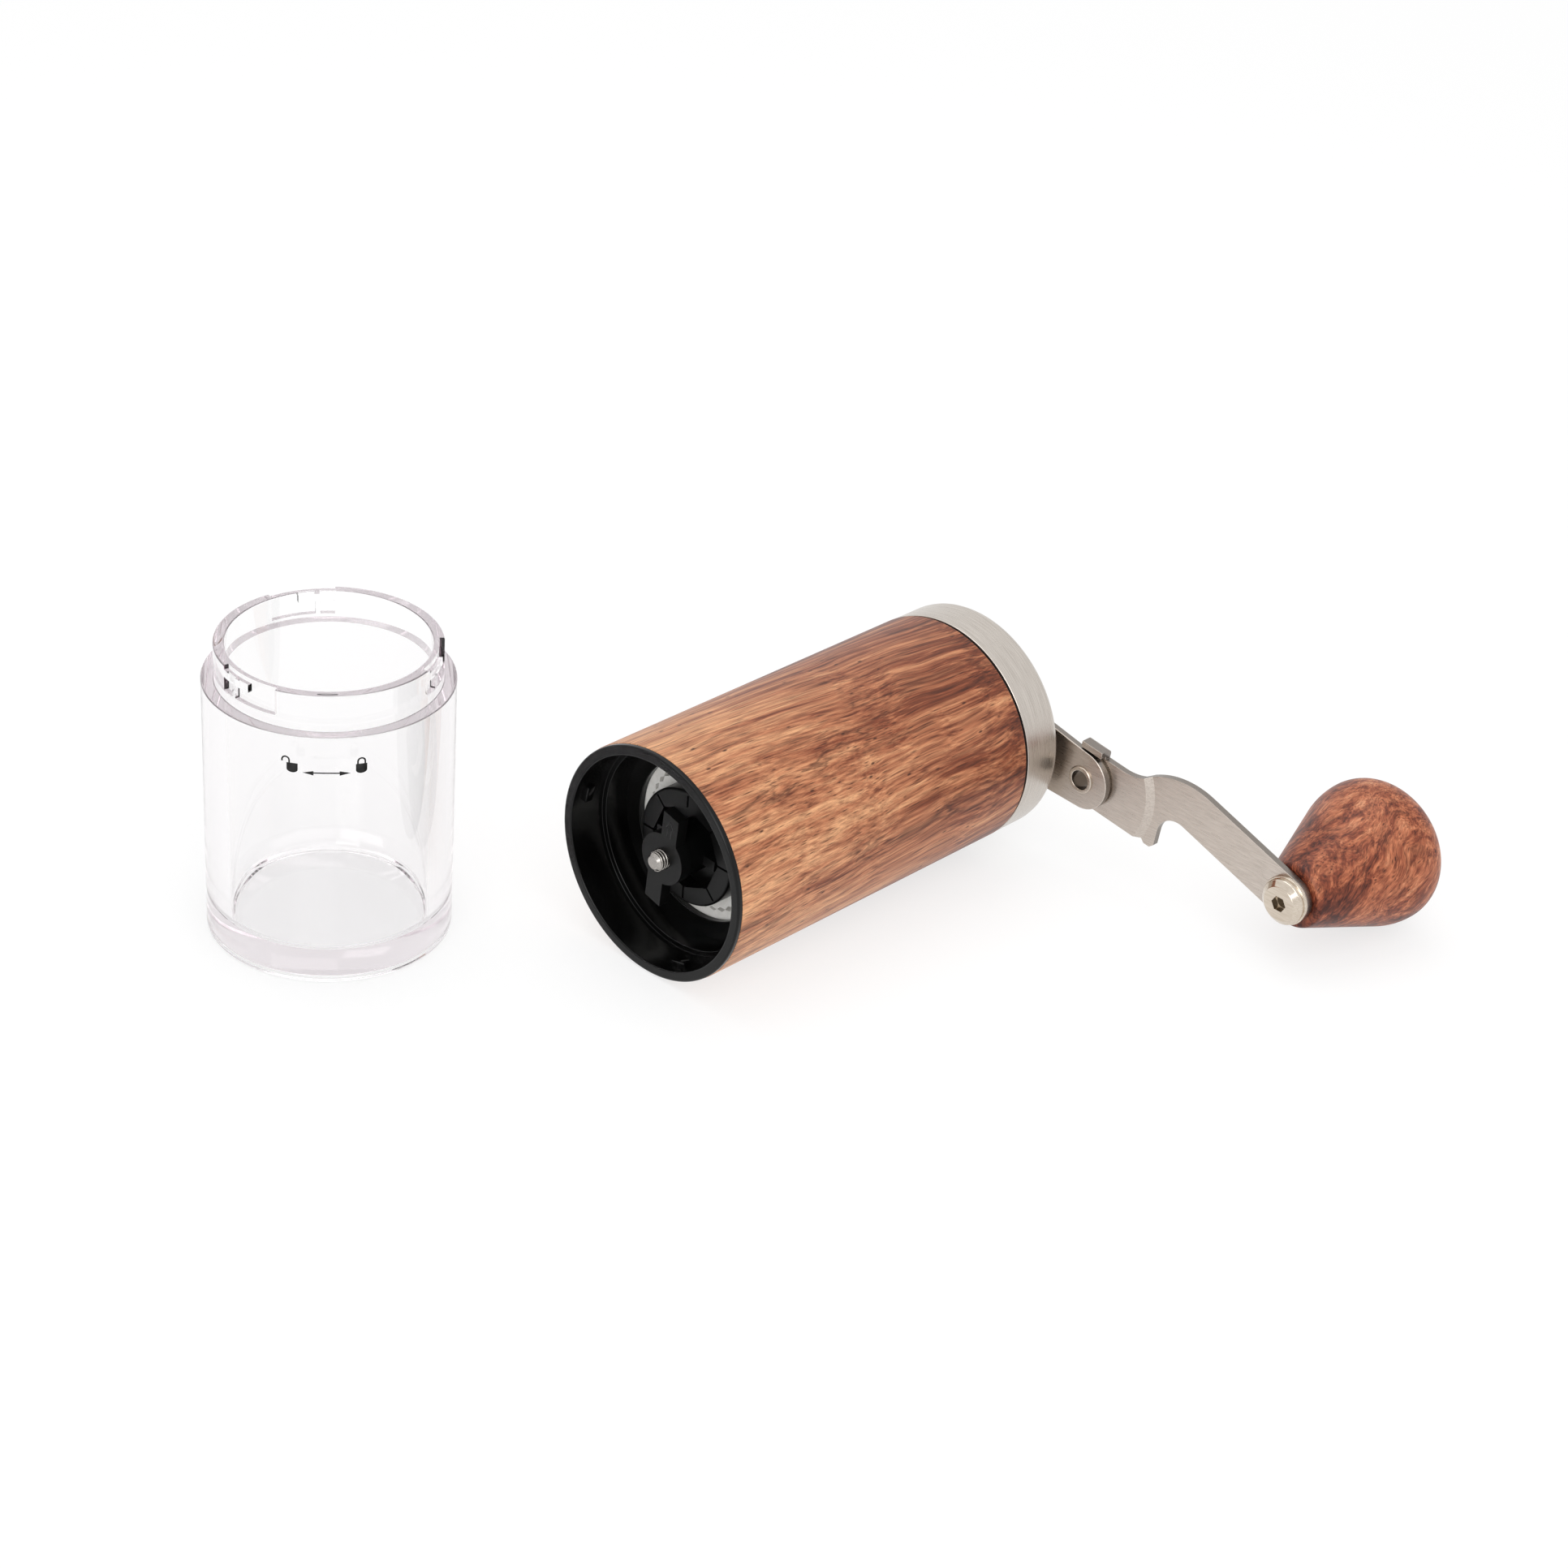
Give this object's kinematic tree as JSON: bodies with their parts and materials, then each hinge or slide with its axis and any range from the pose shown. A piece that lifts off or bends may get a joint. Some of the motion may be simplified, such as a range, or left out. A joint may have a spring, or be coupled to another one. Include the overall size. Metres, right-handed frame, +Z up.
{
  "type": "burr coffee grinder",
  "caption": "Hand coffee grinder: wood-look cylinder with a conical burr set, steel lid, folding crank with a teardrop knob, and a clear bayonet jar standing beside it.",
  "frame": {"origin": "centre of the jar's foot on the table", "axes": "+Z up, +X along the lying grinder's axis from its mouth to its lid; the crank reaches towards -Y"},
  "size_m": [0.2068, 0.1864, 0.0664],
  "materials": {
    "wood_film": "satin wood-grain film on a plastic tube",
    "black_plastic": "satin black moulding",
    "ceramic": null,
    "acetal": "natural low-friction plastic",
    "steel": "turned steel",
    "brushed_stainless": "brushed stainless",
    "rubber": "soft seal",
    "knob_wood": "lacquered burl",
    "brass": "turned brass",
    "nickel": "bright nickel plate",
    "clear_acrylic": "polished clear acrylic"
  },
  "bodies": {
    "grinder_body": {"wood_sleeve": "wood_film", "mouth_ring": "black_plastic", "hopper_tube": "black_plastic", "burr_carrier": "black_plastic", "outer_burr": "ceramic", "burr_bridge": "black_plastic", "lower_bush": "acetal", "top_bridge": "black_plastic", "upper_bush": "acetal"},
    "drive": {"drive_shaft": "steel", "thrust_washer": "steel", "shaft_circlip": "steel"},
    "burr_unit": {"inner_burr": "ceramic", "burr_dial": "black_plastic", "spring_washer": "steel", "burr_spring": "steel"},
    "adjuster": {"adjuster_wing": "black_plastic", "adjuster_nut": "brass"},
    "lid": {"lid_shell": "brushed_stainless", "lid_insert": "black_plastic", "lid_seal": "rubber"},
    "crank": {"crank_hub": "brushed_stainless", "crank_bracket": "brushed_stainless", "hinge_rivet": "steel", "hinge_washer": "acetal"},
    "handle_arm": {"crank_arm": "brushed_stainless"},
    "knob_set": {"knob": "knob_wood", "knob_insert": "brass", "knob_screw": "nickel"},
    "jar": {"jar": "clear_acrylic"}
  },
  "joints": [
    {"name": "crank_turn", "type": "hinge", "parent": "grinder_body", "child": "drive", "pos_m": [0.0364, -0.0582, 0.026], "axis": [1, 0, 0], "continuous": true},
    {"name": "adjuster_turn", "type": "hinge", "parent": "burr_unit", "child": "adjuster", "pos_m": [0.0364, -0.0582, 0.026], "axis": [1, 0, 0], "range_deg": [-722, 362]},
    {"name": "burr_feed", "type": "slide", "parent": "drive", "child": "burr_unit", "axis": [1, 0, 0], "range_m": [-0.0014, 0.0007], "deforming": ["burr_spring"]},
    {"name": "lid_lift", "type": "slide", "parent": "grinder_body", "child": "lid", "axis": [1, 0, 0], "range_m": [0, 0.045]},
    {"name": "crank_lift", "type": "slide", "parent": "drive", "child": "crank", "axis": [1, 0, 0], "range_m": [0, 0.045]},
    {"name": "handle_fold", "type": "hinge", "parent": "crank", "child": "handle_arm", "pos_m": [0.13955, -0.08894, 0.02199], "axis": [1, 0, 0], "range_deg": [0, 171]},
    {"name": "knob_spin", "type": "hinge", "parent": "handle_arm", "child": "knob_set", "pos_m": [0.14275, -0.14411, 0.0166], "axis": [1, 0, 0], "continuous": true},
    {"name": "jar_lift", "type": "slide", "parent": "grinder_body", "child": "jar", "axis": [0, 0, 1], "range_m": [0, 0.08]}
  ],
  "couplings": [
    {"joint": "adjuster_turn", "follows": "burr_feed", "rad_per_m": 8976},
    {"joint": "crank_lift", "follows": "lid_lift", "ratio": 1}
  ]
}
